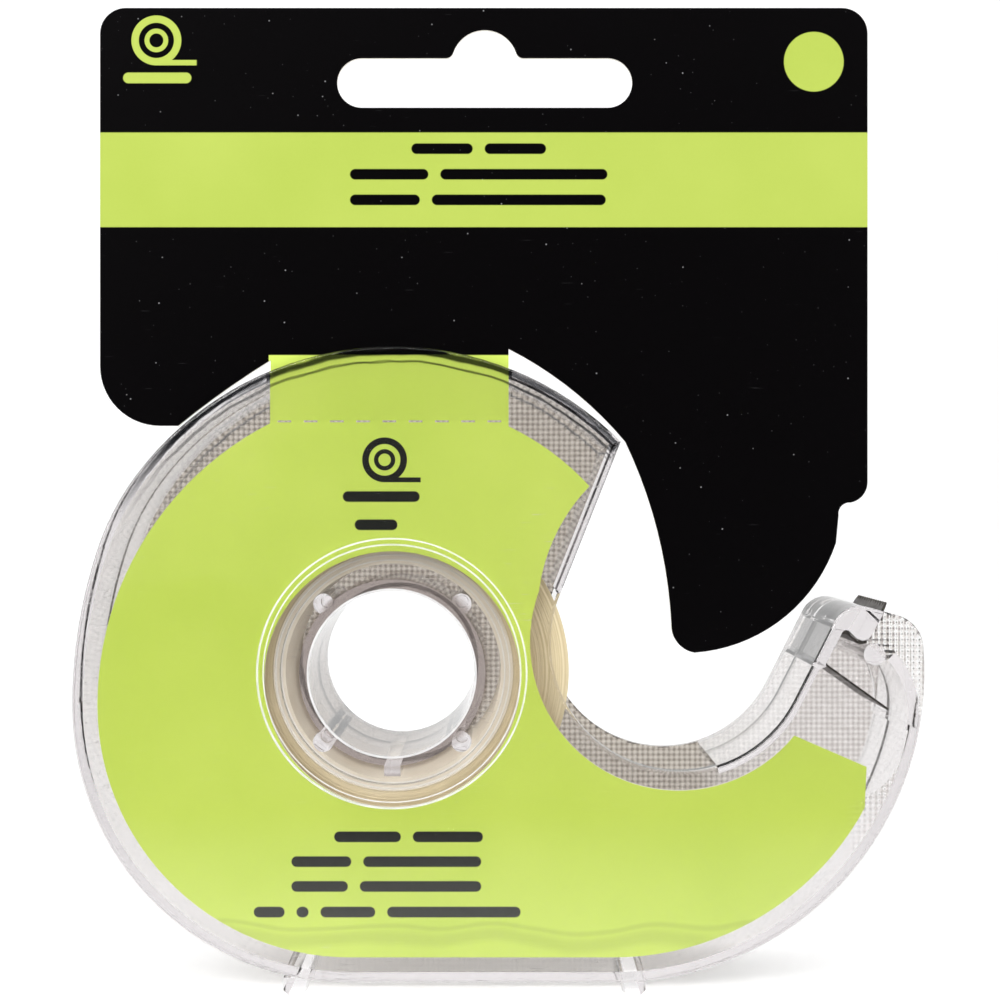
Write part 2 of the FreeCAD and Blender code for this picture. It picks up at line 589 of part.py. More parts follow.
def make_cutter_blade():
    """A bent strip with a row of teeth along its free edge, spanning the tape."""
    body = new_body("cutter_blade")
    upper, upper_top, upper_end = rounded_path(blade_path, s.bladeThickness / 2)
    lower, lower_top, lower_end = rounded_path(blade_path, -s.bladeThickness / 2)
    pad(body, "strip", f"{roll_front} - Sizes.bladeOverhang", "Sizes.tapeWidth + 2 * Sizes.bladeOverhang",
        upper + lower + [line(upper_top, lower_top), line(upper_end, lower_end)])
    edge, bend = blade_path[0][0], blade_path[1][0]
    rise = math.radians(direction(bend, edge))
    along = Vector(math.cos(rise), 0, math.sin(rise))
    across = Vector(0, 1, 0)
    normal = across.cross(along)
    teeth = body.newObject("Sketcher::SketchObject", "teeth_sketch")
    axes = FreeCAD.Matrix(across.x, along.x, normal.x, 0, across.y, along.y, normal.y, 0,
                          across.z, along.z, normal.z, 0, 0, 0, 0, 1)
    middle = amount(f"{roll_front} + Sizes.tapeWidth / 2")
    teeth.Placement = FreeCAD.Placement(Vector(edge[0], middle, edge[1]), FreeCAD.Placement(axes).Rotation)
    width = s.tapeWidth + 2 * s.bladeOverhang
    gaps = int(width / s.toothPitch) - 1
    start = -gaps * s.toothPitch / 2
    above = s.cutMargin
    drawing = []
    for number in range(gaps):
        left = start + number * s.toothPitch + s.toothLand / 2
        right = left + s.toothPitch - s.toothLand
        drawing += polygon((left, 0), (left, above), (right, above), (right, 0),
                           ((left + right) / 2, -s.toothHeight))
    for way in (-1, 1):
        end, inner = way * (width / 2 + above), way * (s.toothLand / 2 - start)
        drawing += polygon((end, -2 * s.toothHeight), (end, above), (inner, above), (inner, 0))
    teeth.addGeometry(drawing, False)
    cut = body.newObject("PartDesign::Pocket", "teeth")
    cut.Profile = teeth
    cut.Midplane = True
    cut.Length = 4 * s.bladeThickness
    before = body.Shape.Volume
    doc.recompute()
    if not body.Shape.Volume < before:
        raise RuntimeError("the teeth cut nothing")
    return body


def slits(low, high):
    """The cuts of the tear line, evenly spaced about the middle of the tab."""
    middle = (s.tabLeft + s.tabRight) / 2
    count = int((s.tabRight - s.tabLeft) / s.slitPitch)
    drawing = []
    for number in range(count):
        centre = middle + (number - (count - 1) / 2) * s.slitPitch
        drawing += rectangle(centre - s.slitLength / 2, centre + s.slitLength / 2, low, high)
    return drawing


def make_insert_card():
    """The printed disc and tail behind the front wall, up to the tear line."""
    body = new_body("insert_card")
    inset = s.cardInset
    crown_radius = s.rimRadius - s.cardCrownInset
    left_radius = s.rimRadius - s.cardCrownTightening
    crown_left = (left_x + inset + left_radius, side[1])
    left_foot = crown_left[1] + math.sqrt(left_radius ** 2 - (s.tabLeft - crown_left[0]) ** 2)
    right_foot = rim[1] + math.sqrt(crown_radius ** 2 - (s.tabRight - rim[0]) ** 2)
    throat_radius = s.mouthRadius + s.cardThroat
    throat_high, throat_low = s.mouthCorner + s.cardThroatTurn, s.cardThroatEnd + 360
    web = direction(mouth_corner, rim_corner)
    beside_web = polar(mouth_corner, s.rimWall + s.cardWebGap, web + 90)
    pointed = line_meets_circle(beside_web, web, rim, crown_radius, rim_corner)
    edge_radius = toe_radius - inset
    tail_top = polar(toe, edge_radius - s.cardTailStep, s.cardTailTop)
    drawing = [
        line((s.tabLeft, left_foot), (s.tabLeft, perforation_z)),
        line((s.tabLeft, perforation_z), (s.tabRight, perforation_z)),
        line((s.tabRight, perforation_z), (s.tabRight, right_foot)),
        arc(rim, crown_radius, direction(rim, pointed), direction(rim, (s.tabRight, right_foot))),
        bulged(polar(mouth, throat_radius, throat_high), pointed, s.cardPointSag),
        arc(mouth, throat_radius, throat_high, throat_low),
        line(polar(mouth, throat_radius, throat_low), tail_top),
        line(tail_top, polar(toe, edge_radius, s.cardTailLow)),
        arc(toe, edge_radius, -90, s.cardTailLow),
        line((toe[0], base_z + inset), (heel[0], base_z + inset)),
        arc(heel, heel_radius - inset, 180, 270),
        arc(crown_left, left_radius, direction(crown_left, (s.tabLeft, left_foot)), 180),
    ]
    pad(body, "card", card_front, "Sizes.cardThickness", drawing)
    pocket(body, "hub_hole", card_front, "Sizes.cardThickness",
           full_circle((0, -s.cardHoleDrop), amount(core_outside) + s.cardHoleOffset))
    pocket(body, "tear_line", card_front, "Sizes.cardThickness",
           slits(perforation_z - s.slitHeight / 2, perforation_z + s.cutMargin))
    return body


def hang_slot(centre_x, centre_z):
    """A long slot with round ends and a round bump on top, its two corners rounded over."""
    end = s.hangHeight / 2
    reach = s.hangLength / 2 - end
    top = centre_z + end
    bump = (centre_x, centre_z + s.hangBumpRise)
    fillet_z = top + s.hangFillet
    spread = math.sqrt((s.hangBump + s.hangFillet) ** 2 - (fillet_z - bump[1]) ** 2)
    left, right = (centre_x - spread, fillet_z), (centre_x + spread, fillet_z)
    return [
        line((centre_x - reach, centre_z - end), (centre_x + reach, centre_z - end)),
        arc((centre_x + reach, centre_z), end, -90, 90),
        line((centre_x + reach, top), (right[0], top)),
        arc(right, s.hangFillet, direction(right, bump) % 360, 270),
        arc(bump, s.hangBump, direction(bump, right), direction(bump, left)),
        arc(left, s.hangFillet, 270, direction(left, bump) + 360),
        line((left[0], top), (centre_x - reach, top)),
        arc((centre_x - reach, centre_z), end, 90, 270),
    ]


def make_header_card():
    """The hang card above the tear line: tab, black panel, lobe in the mouth and hang slot."""
    body = new_body("header_card")
    left, right = left_x + s.headerLeftInset, toe[0] + toe_radius - s.headerRightInset
    top, shoulder_z = crown_z + s.headerRise, crown_z - s.headerShoulderDrop
    corner, low_corner = s.headerCorner, s.headerLowCorner
    close = s.rimRadius + s.headerRimGap
    shoulder_angle = 180 - math.degrees(math.asin((shoulder_z - rim[1]) / close))
    shoulder_point = polar(rim, close, shoulder_angle)
    # Points of the free edge: the tab's two roots, the lobe that hangs in the mouth, and the notch beside it.
    tab_left_top = (s.tabLeft, rim[1] + math.sqrt((close + s.notchLeft) ** 2 - (s.tabLeft - rim[0]) ** 2))
    tab_right_top = (s.tabRight, rim[1] + math.sqrt((close + s.notchRight) ** 2 - (s.tabRight - rim[0]) ** 2))
    lobe_top = polar(rim, close, s.rimCorner - s.lobeTurn)
    lobe_left = (mouth[0] - s.lobeLeftBack, mouth[1] + s.lobeLeftRise)
    lobe_foot = (mouth[0] + s.lobeFootAhead, mouth[1] - s.lobeFootDrop)
    lobe_right = (mouth[0] + s.lobeRightAhead, mouth[1] + s.lobeRightRise)
    notch = (lobe_right[0] + s.notchStep, lobe_right[1] + s.notchRise)
    ledge = (right - s.ledgeInset, notch[1] + s.ledgeRise)
    right_low = (right, notch[1] + s.rightEdgeRise)
    drawing = [
        line((s.tabLeft, perforation_z), (s.tabRight, perforation_z)),
        line((s.tabRight, perforation_z), tab_right_top),
        arc_through(tab_right_top, polar(rim, close + s.edgeRightGap, s.edgeRightMiddle), lobe_top),
        bulged(lobe_top, lobe_left, s.lobeTopBulge),
        bulged(lobe_left, lobe_foot, -s.lobeLeftBulge),
        bulged(lobe_foot, lobe_right, -s.lobeFootBulge),
        line(lobe_right, notch),
        bulged(notch, ledge, s.notchBulge),
        bulged(ledge, right_low, -s.ledgeBulge),
        line(right_low, (right, top - corner)),
        arc((right - corner, top - corner), corner, 0, 90),
        line((right - corner, top), (left + corner, top)),
        arc((left + corner, top - corner), corner, 90, 180),
        line((left, top - corner), (left, shoulder_z + low_corner)),
        arc((left + low_corner, shoulder_z + low_corner), low_corner, 180, 270),
        line((left + low_corner, shoulder_z), shoulder_point),
        arc_through(shoulder_point, polar(rim, close + s.edgeLeftGap, s.edgeLeftMiddle), tab_left_top),
        line(tab_left_top, (s.tabLeft, perforation_z)),
    ]
    pad(body, "panel", card_front, "Sizes.cardThickness", drawing)
    pocket(body, "tear_line", card_front, "Sizes.cardThickness",
           slits(perforation_z - s.cutMargin, perforation_z + s.slitHeight / 2))
    pocket(body, "hang_slot", card_front, "Sizes.cardThickness",
           hang_slot((left + right) / 2 + s.hangShift, top - s.hangDrop))
    return body


sub_parts = [
    make_front_shell(),
    make_back_shell(),
    make_cutter_blade(),
    make_ring("tape_core", core_bore, core_outside),
    make_ring("tape_roll", f"{core_outside} + Sizes.windingGap", roll_outside),
    make_insert_card(),
    make_header_card(),
]
doc.recompute()

for thing in doc.Objects:
    if "Invalid" in thing.State or "Error" in thing.State:
        raise RuntimeError(f"{thing.Name} did not compute: {thing.State}")

os.makedirs("parts", exist_ok=True)
for body in sub_parts:
    shape = body.Shape
    if shape.isNull() or not shape.isValid():
        raise RuntimeError(f"{body.Label} has no valid shape")
    shape.exportStep(f"parts/{body.Label}.step")
    box = shape.optimalBoundingBox(False, False)
    print(f"{body.Label}: solids {len(shape.Solids)}, volume {shape.Volume:.1f}, "
          f"x {box.XMin:.2f} {box.XMax:.2f}, "
          f"y {box.YMin:.2f} {box.YMax:.2f}, z {box.ZMin:.2f} {box.ZMax:.2f}")
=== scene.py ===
import math
import random

import bmesh
import bpy
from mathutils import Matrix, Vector


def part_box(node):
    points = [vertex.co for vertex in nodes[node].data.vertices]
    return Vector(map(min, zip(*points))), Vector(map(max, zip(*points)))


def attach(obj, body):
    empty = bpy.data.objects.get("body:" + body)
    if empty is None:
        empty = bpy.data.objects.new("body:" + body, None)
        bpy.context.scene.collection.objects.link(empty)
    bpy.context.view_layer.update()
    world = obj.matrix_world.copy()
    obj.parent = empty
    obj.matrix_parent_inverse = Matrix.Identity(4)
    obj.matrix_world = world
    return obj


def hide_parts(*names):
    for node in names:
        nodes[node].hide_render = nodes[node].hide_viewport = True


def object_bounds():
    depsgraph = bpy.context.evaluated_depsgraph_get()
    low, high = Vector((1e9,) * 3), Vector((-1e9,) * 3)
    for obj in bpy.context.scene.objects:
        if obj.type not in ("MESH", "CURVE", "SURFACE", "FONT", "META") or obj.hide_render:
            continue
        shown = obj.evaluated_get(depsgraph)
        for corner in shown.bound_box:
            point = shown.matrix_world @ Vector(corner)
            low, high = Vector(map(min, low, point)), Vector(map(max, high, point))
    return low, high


# Hand tape dispenser: clear snail case, spinning roll, toothed cutter and printed card, in metres.
# The frame's origin is on the hub axis; +X points to the nose, +Y to the back wall, +Z up.

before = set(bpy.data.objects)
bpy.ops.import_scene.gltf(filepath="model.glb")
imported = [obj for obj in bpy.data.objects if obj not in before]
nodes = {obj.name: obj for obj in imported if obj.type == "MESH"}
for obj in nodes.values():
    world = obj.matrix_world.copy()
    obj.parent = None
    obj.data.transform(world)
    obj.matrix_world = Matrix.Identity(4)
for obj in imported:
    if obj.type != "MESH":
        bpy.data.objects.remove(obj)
cadLow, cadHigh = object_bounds()
mm = 0.001
print("frame loaded:", ", ".join(sorted(nodes)))


def operator(operation, swapped=False):
    # arithmetic between wires and numbers as a Math node
    def apply(self, other):
        pair = (other, self) if swapped else (self, other)
        return self.math(operation, *pair)
    return apply


class Wire:
    # one output socket of a shader
    def __init__(self, shader, socket):
        self.shader = shader
        self.socket = socket

    def math(self, operation, *values, clamp=False):
        return self.shader.add("ShaderNodeMath", {"operation": operation, "use_clamp": clamp},
                               dict(enumerate(values)))

    __add__ = operator("ADD")
    __radd__ = operator("ADD", True)
    __sub__ = operator("SUBTRACT")
    __rsub__ = operator("SUBTRACT", True)
    __mul__ = operator("MULTIPLY")
    __rmul__ = operator("MULTIPLY", True)
    __pow__ = operator("POWER")
    most = operator("MAXIMUM")

    def __abs__(self):
        return self.math("ABSOLUTE", self)

    def sine(self):
        return self.math("SINE", self)

    def root(self):
        return self.math("SQRT", self)

    def step(self, low, high):
        # 0 at low, 1 at high, a soft ramp between; low may be the larger
        return self.math("MULTIPLY", self - low, 1.0 / (high - low), clamp=True)

    def near(self, level, half, soft):
        # 1 within half of the level, fading out over soft
        return abs(self - level).step(half + soft, half)


class Shader:
    # one node tree; x, y and z are places on the object in millimetres
    def __init__(self, name, tree=None):
        if tree is None:
            self.material = bpy.data.materials.new(name)
            self.material.use_nodes = True
            tree = self.material.node_tree
        self.tree = tree
        self.tree.nodes.clear()

    def locate(self):
        self.place = self.add("ShaderNodeTexCoord", out="Object")
        split = self.scaled(self.place, 1 / mm)
        self.x = self.add("ShaderNodeSeparateXYZ", {}, {0: split}, "X")
        self.y = self.add("ShaderNodeSeparateXYZ", {}, {0: split}, "Y")
        self.z = self.add("ShaderNodeSeparateXYZ", {}, {0: split}, "Z")
        return self

    def add(self, kind, settings={}, values={}, out=0):
        node = self.tree.nodes.new(kind)
        for name, value in settings.items():
            setattr(node, name, value)
        for name, value in values.items():
            usable = [s for s in node.inputs if s.enabled]
            socket = usable[name] if isinstance(name, int) else next(s for s in usable if s.name == name)
            if isinstance(value, Wire):
                self.tree.links.new(value.socket, socket)
            else:
                socket.default_value = value
        shown = [s for s in node.outputs if s.enabled]
        if not shown:
            return None
        return Wire(self, shown[out] if isinstance(out, int) else next(s for s in shown if s.name == out))

    def scaled(self, vector, factor):
        if isinstance(factor, (int, float)):
            return self.add("ShaderNodeVectorMath", {"operation": "SCALE"}, {0: vector, "Scale": factor})
        return self.add("ShaderNodeVectorMath", {"operation": "MULTIPLY"}, {0: vector, 1: factor})

    def mix(self, share, first, second):
        return self.add("ShaderNodeMix", {"data_type": "RGBA"}, {"Factor": share, "A": first, "B": second})

    def noise(self, scale, detail=3.0, stretch=(1, 1, 1), roughness=0.5):
        # scale is in cells a millimetre
        where = self.scaled(self.place, tuple(scale * s / mm for s in stretch))
        return self.add("ShaderNodeTexNoise", {"noise_dimensions": "3D"},
                        {"Vector": where, "Scale": 1.0, "Detail": detail, "Roughness": roughness})

    def specks(self, scale, size):
        # round dots, one to a cell, with scale in cells a millimetre
        where = self.scaled(self.place, scale / mm)
        dots = self.add("ShaderNodeTexVoronoi", {}, {"Vector": where, "Scale": 1.0})
        return dots.step(size, size / 2)

    def away(self, x, z):
        # distance from an axis that runs across the depth
        return ((self.x - x) ** 2.0 + (self.z - z) ** 2.0).root()

    def bump(self, height, distance, strength=1.0, normal=None):
        values = {"Strength": strength, "Distance": distance, "Height": height}
        if normal:
            values["Normal"] = normal
        return self.add("ShaderNodeBump", {}, values)

    def principled(self, **values):
        named = {name.replace("_", " "): value for name, value in values.items()}
        return self.add("ShaderNodeBsdfPrincipled", {}, named)

    def blend(self, share, first, second):
        return self.add("ShaderNodeMixShader", {}, {0: share, 1: first, 2: second})

    def finish(self, surface, volume=None):
        ends = {"Surface": surface}
        if volume:
            ends["Volume"] = volume
        self.add("ShaderNodeOutputMaterial", {}, ends)
        return self.material


def dress(name, material):
    nodes[name].data.materials.clear()
    nodes[name].data.materials.append(material)


plastic = {
    "tint": (0.975, 0.968, 0.970, 1.0),
    # painted shade and reflection: the hub area is tinted darker for the dim bore wall and the core seen
    # through it
    "hubPaintedShade": (0.66, 0.62, 0.60, 1.0),         # the tube picks up the core behind it
    "hubReach": (11.4, 11.0),                   # mm from the hub axis
    # painted light and shade on the dimpled walls: lit crests and shaded gaps, darkest by the mouth
    "windowPaintedShade": (0.085, 0.064, 0.046, 1.0),   # between the dimples, by the mouth
    "windowPaintedLight": (0.37, 0.32, 0.255, 1.0),
    "nosePaintedShade": (0.36, 0.31, 0.285, 1.0),       # between the dimples, in the nose
    "nosePaintedLight": (0.74, 0.70, 0.67, 1.0),
    "noseStart": (38.0, 48.0),
    "tipPaintedLight": (0.97, 0.965, 0.96, 1.0),       # the front wall's own dimples, past the band
    "tipStart": (53.0, 57.5),
    # painted reflection: the black hang card mirrored in the rim, painted into the plastic's colour
    "rimPaintedReflection": (0.035, 0.040, 0.048, 1.0),      # the black hang card shows in the rim under it
    "depthTint": (0.55, 0.44, 0.47, 1.0),       # what a long way through the plastic does to white light
    "depthDensity": 13.0,
    "roughness": 0.03,
    "scuffed": 0.16,
    "ior": 1.5,
    "wall": 1.2,
    "innerSkin": (0.02, 0.03),                  # half depth and softness at the inner face
    "outerSkin": (0.32, 0.05),
    # noises hold cells a millimetre, detail, stretch and roughness, and a ramp holds where 0 and 1 lie
    "wave": (0.09, 2.0),
    "waveDepth": 0.035 * mm,
    "smudge": (0.12, 4.0, (1.0, 1.0, 2.0), 0.65),
    "smudgeRamp": (0.50, 0.72),
    "smudgeShare": 0.35,
    "scratch": (0.7, 3.0, (0.35, 1.0, 9.0), 0.6),
    "scratchRamp": (0.66, 0.70),
    "scratchRise": 0.15,
    "dimplePitch": 0.95,
    "dimpleDepth": 0.10 * mm,
    "dimpleShare": 0.8,
    "dimpleGrain": (1.1, 3.0),
    "dimpleRamp": (-0.1, 1.25),
    "tipRamp": (0.1, 1.0),
    "band": (50.5, -5.6, 10.2),                 # centre and radius of the curved band in the nose
    "bandSoft": 0.1,
    "rimCentre": (0.1, 0.7),
    "rimRadius": 37.4,
    "crown": (17.0, 27.0),                      # the dark in the rim fades in between these heights
    "wander": (0.22, 2.0),
    "wanderReach": 0.7,
    "wideStreak": (0.95, 0.22, 0.16),           # under the rim, half width, softness
    "fineStreak": (2.05, 0.06, 0.10),
    "fineShare": 0.85,
    "rimEdge": (-0.5, 0.1),
    "streakShare": 0.92,
    # partly a real matte moulded finish and partly a painted highlight: white frosted lines stand in for
    # the light the edges catch
    "frostHighlight": (0.93, 0.93, 0.94, 1.0),           # crisp moulded edges catch the light
    "frostRoughness": 0.35,
    "frostPatches": (0.5, 2.0),
    "frostRange": 0.5,
    "frostLeast": 0.45,
    "bore": 9.65,
    "boreLine": (0.12, 0.10, 0.06),             # outside the bore, half width, softness
    "grooves": (15.0, 15.7),
    "grooveLine": (0.07, 0.06),
}


def dimples(shader):
    # rows of shallow round bumps, set on the diagonal
    turn = math.sqrt(2.0) * math.pi / plastic["dimplePitch"]
    return ((shader.x + shader.z) * turn).sine() * ((shader.x - shader.z) * turn).sine()


def dimpledPlace(shader, inner, frontSide):
    # the inner face of a wall, but on the front wall only the nose tip, past the band
    place = shader.y.near(inner, *plastic["innerSkin"])
    if frontSide:
        bandX, bandZ, bandRadius = plastic["band"]
        soft = plastic["bandSoft"]
        place = place * shader.away(bandX, bandZ).step(bandRadius - soft, bandRadius + soft)
        place = place * shader.x.step(*plastic["tipStart"])
    return place


def dimplePaintedLight(shader, rise, frontSide):
    # painted light on the dimples and painted shade between them
    grain = rise * plastic["dimpleShare"] + shader.noise(*plastic["dimpleGrain"])
    if frontSide:
        return shader.mix(grain.step(*plastic["tipRamp"]), plastic["nosePaintedLight"], plastic["tipPaintedLight"])
    crest = grain.step(*plastic["dimpleRamp"])
    return shader.mix(shader.x.step(*plastic["noseStart"]),
                      shader.mix(crest, plastic["windowPaintedShade"], plastic["windowPaintedLight"]),
                      shader.mix(crest, plastic["nosePaintedShade"], plastic["nosePaintedLight"]))


def rimReflectionStreaks(shader):
    # painted reflection of the black hang card: dark streaks that run round the crown, strongest under the
    # card
    drop = plastic["rimRadius"] - shader.away(*plastic["rimCentre"])
    wavy = drop + shader.noise(*plastic["wander"]) * plastic["wanderReach"]
    bands = wavy.near(*plastic["wideStreak"]).most(wavy.near(*plastic["fineStreak"]) * plastic["fineShare"])
    return bands * shader.z.step(*plastic["crown"]) * drop.step(*plastic["rimEdge"])


def highlightRings(shader, hub, outer):
    # the moulded edges of the bore and the grooves, on the outer face, as white frosted lines: partly a
    # matte moulded finish, partly a painted highlight
    off, half, soft = plastic["boreLine"]
    rings = hub.near(plastic["bore"] + off, half, soft)
    for radius in plastic["grooves"]:
        rings = rings.most(hub.near(radius, *plastic["grooveLine"]))
    patches = shader.noise(*plastic["frostPatches"]) * plastic["frostRange"] + plastic["frostLeast"]
    return rings * shader.y.near(outer, *plastic["outerSkin"]) * patches


def clearPlastic(name, frontSide):
    shader = Shader(name).locate()
    outer = (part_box("front_shell")[0].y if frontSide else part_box("back_shell")[1].y) / mm
    inner = outer + plastic["wall"] * (1 if frontSide else -1)
    hub = shader.away(0.0, 0.0)
    rise = dimples(shader)
    dimpled = dimpledPlace(shader, inner, frontSide)
    # painted shade: a darker tint over the hub area
    colour = shader.mix(hub.step(*plastic["hubReach"]), plastic["tint"], plastic["hubPaintedShade"])
    # painted light and shade on the dimples
    colour = shader.mix(dimpled, colour, dimplePaintedLight(shader, rise, frontSide))
    # painted reflection of the hang card along the crown
    colour = shader.mix(rimReflectionStreaks(shader) * plastic["streakShare"], colour, plastic["rimPaintedReflection"])
    smudge = shader.noise(*plastic["smudge"]).step(*plastic["smudgeRamp"])
    scratch = shader.noise(*plastic["scratch"]).step(*plastic["scratchRamp"])
    worn = (smudge * plastic["smudgeShare"]).most(scratch)
    wave = shader.noise(*plastic["wave"]) + scratch * plastic["scratchRise"]
    normal = shader.bump(wave, plastic["waveDepth"])
    normal = shader.bump(rise * dimpled, plastic["dimpleDepth"], 1.0, normal)
    rough = plastic["roughness"] + worn * (plastic["scuffed"] - plastic["roughness"])
    glass = shader.principled(
        Base_Color=colour, Roughness=rough, IOR=plastic["ior"], Transmission_Weight=1.0, Normal=normal)
    # white frosted finish on the rings, partly matte moulding and partly painted highlight
    frostedHighlight = shader.principled(Base_Color=plastic["frostHighlight"], Roughness=plastic["frostRoughness"])
    body = shader.blend(highlightRings(shader, hub, outer), glass, frostedHighlight)
    # light passes straight through, so the case throws no dark shadow
    clear = shader.add("ShaderNodeBsdfTransparent", {}, {"Color": (1, 1, 1, 1)})
    shadow = shader.add("ShaderNodeLightPath", out="Is Shadow Ray")
    depth = shader.add("ShaderNodeVolumeAbsorption", {}, {
        "Color": plastic["depthTint"], "Density": plastic["depthDensity"]})
    return shader.finish(shader.blend(shadow, body, clear), depth)


dress("front_shell", clearPlastic("clearFront", True))
dress("back_shell", clearPlastic("clearBack", False))
print("case dressed")


card = {
    "green": (0.560, 0.690, 0.125, 1.0),
    "greenDeep": (0.500, 0.640, 0.098, 1.0),
    # painted light: the green inside the clear case is brightened to make up for the light the case holds
    # back
    "insertPaintedLightGain": 1.26,       # the insert and the tab lie inside the clear case
    "tabPaintedLightGain": 1.20,
    "headerGain": 0.83,
    "black": (0.0016, 0.0012, 0.0016, 1.0),
    "text": (0.006, 0.007, 0.005, 1.0),
    "board": (0.74, 0.71, 0.64, 1.0),
    "boardLight": (0.80, 0.78, 0.72, 1.0),
    "dust": (0.28, 0.28, 0.29, 1.0),
    "insertFinish": (0.42, 0.15),   # roughness and specular level
    "headerFinish": (0.38, 0.10),
    "boardRougher": 0.35,
    "stripe": (52.2, 63.3),   # mm above the hub axis, as all places here
    "tabPrint": 37.2,         # where the tab turns black
    "tab": (-14.5, 13.8),
    "dot": (49.4, 71.6, 3.5),
    "barHeight": 1.25,        # plain bars stand where lines of print would be
    "edge": 0.05,             # softness of a printed edge
    "stripeRows": {61.4: ((2.2, 9.4), (10.8, 18.0)),
                   58.4: ((-5.0, 4.2), (5.6, 25.2)),
                   55.4: ((-5.0, 3.2), (4.6, 25.0))},
    "insertRows": {20.6: ((-5.8, 3.2),),
                   17.3: ((-4.4, 0.6),),
                   -19.2: ((-6.8, 1.0), (2.4, 10.6)),
                   -22.1: ((-11.8, -4.8), (-3.4, 10.4)),
                   -25.0: ((-11.8, -5.2), (-3.8, 10.4)),
                   -28.0: ((-16.2, -12.6), (-11.2, -9.8), (-8.4, -2.0), (-0.6, 15.0))},
    "headerRows": {69.7: ((-31.6, -23.6),)},
    "insertMark": (-0.9, 24.9, 2.6),
    "headerMark": (-27.7, 74.1, 2.9),
    "markRing": (0.86, 0.14),       # radius and half width, over the size of the mark
    "markHub": (0.38, 0.09),
    "markTail": (0.9, 0.10),        # drop and half width
    "markTailEnd": (1.65, 1.6),
    # painted shade: darker lines along creases in the green
    "creaseShadeLines": ((-31.2, 0.30, 0.9), (-29.8, 0.12, 0.35)),   # height, half width, softness
    "creaseBend": (0.06, 1.0),
    "creaseSwing": 5.0,
    "creaseShadeShare": 0.35,
    "creaseShadeGain": 0.82,
    # noises and ramps, as for the plastic
    "printSide": (0.4, 0.6),
    "fibre": (1.6, 5.0, (1, 1, 1), 0.6),
    "fibreRamp": (0.3, 0.7),
    "buckle": (0.035, 2.0),
    "buckleDepth": 0.5 * mm,
    "buckleStrength": 0.5,
    "tooth": (6.0, 2.0),
    "toothDepth": 0.004 * mm,
    "toothStrength": 0.6,
    "mottle": (0.045, 3.0),
    "mottleRamp": (0.32, 0.68),
    "inkGrain": (5.0, 2.0),
    "inkGrainRamp": (0.2, 0.8),
    "inkGrainShare": 0.12,
    "inkGrainGain": 1.12,
    "rubs": (0.5, 4.0, (0.5, 1.0, 6.0), 0.6),
    "rubsRamp": (0.655, 0.70),
    "rubbedArea": (0.05, 2.0),
    "rubbedAreaRamp": (0.5, 0.6),
    "rubsShare": 0.35,
    "coarseDust": (0.45, 0.05),     # cells a millimetre, size in a cell
    "coarseDustShare": 0.8,
    "fineDust": (0.9, 0.055),
    "fineDustShare": 0.30,
    "hairs": (0.9, 2.0, (0.25, 1.0, 5.0), 0.5),
    "hairsRamp": (0.76, 0.80),
    "hairsShare": 0.07,
}


def scaleColour(colour, factor):
    return tuple(channel * factor for channel in colour[:3]) + (1.0,)


def wordBars(shader, rows):
    # rows of rounded bars, each row at a height and each bar from left to right
    half = card["barHeight"] / 2
    union = None
    for height, bars in rows.items():
        rise = abs(shader.z - height)
        for left, right in bars:
            run = (abs(shader.x - (left + right) / 2) - ((right - left) / 2 - half)).most(0.0)
            bar = (run ** 2.0 + rise ** 2.0).root().step(half + card["edge"], half - card["edge"])
            union = union.most(bar) if union else bar
    return union


def rollMark(shader, mark):
    # a plain sign of a roll with its free end: two rings and a short line
    left, height, size = mark
    away = shader.away(left, height)
    soft = card["edge"]
    ringRadius, ringHalf = card["markRing"]
    hubRadius, hubHalf = card["markHub"]
    tailDrop, tailHalf = card["markTail"]
    tailEnd, tailFull = card["markTailEnd"]
    ring = away.near(size * ringRadius, size * ringHalf, soft)
    hub = away.near(size * hubRadius, size * hubHalf, soft)
    tail = shader.z.near(height - size * tailDrop, size * tailHalf, soft)
    tail = tail * shader.x.step(left - soft, left)
    tail = tail * shader.x.step(left + size * tailEnd, left + size * tailFull)
    return ring.most(hub).most(tail)


def cardFinish(shader, printed, roughness, specular):
    # print on the front face only, bare board on the back and on the cut edges
    normals = shader.add("ShaderNodeTexCoord", out="Normal")
    facing = shader.add("ShaderNodeSeparateXYZ", {}, {0: normals}, "Y")
    front = (facing * -1.0).step(*card["printSide"])
    fibre = shader.noise(*card["fibre"]).step(*card["fibreRamp"])
    board = shader.mix(fibre, card["board"], card["boardLight"])
    buckle = shader.bump(shader.noise(*card["buckle"]), card["buckleDepth"], card["buckleStrength"])
    normal = shader.bump(shader.noise(*card["tooth"]), card["toothDepth"], card["toothStrength"], buckle)
    rough = roughness + (1.0 - front) * card["boardRougher"]
    return shader.finish(shader.principled(
        Base_Color=shader.mix(front, board, printed), Roughness=rough, Specular_IOR_Level=specular,
        Normal=normal))


def greenInk(shader, gain):
    mottle = shader.noise(*card["mottle"]).step(*card["mottleRamp"])
    grain = shader.noise(*card["inkGrain"]).step(*card["inkGrainRamp"])
    ink = shader.mix(mottle, scaleColour(card["greenDeep"], gain), scaleColour(card["green"], gain))
    lighter = scaleColour(card["green"], gain * card["inkGrainGain"])
    return shader.mix(grain * card["inkGrainShare"], ink, lighter)


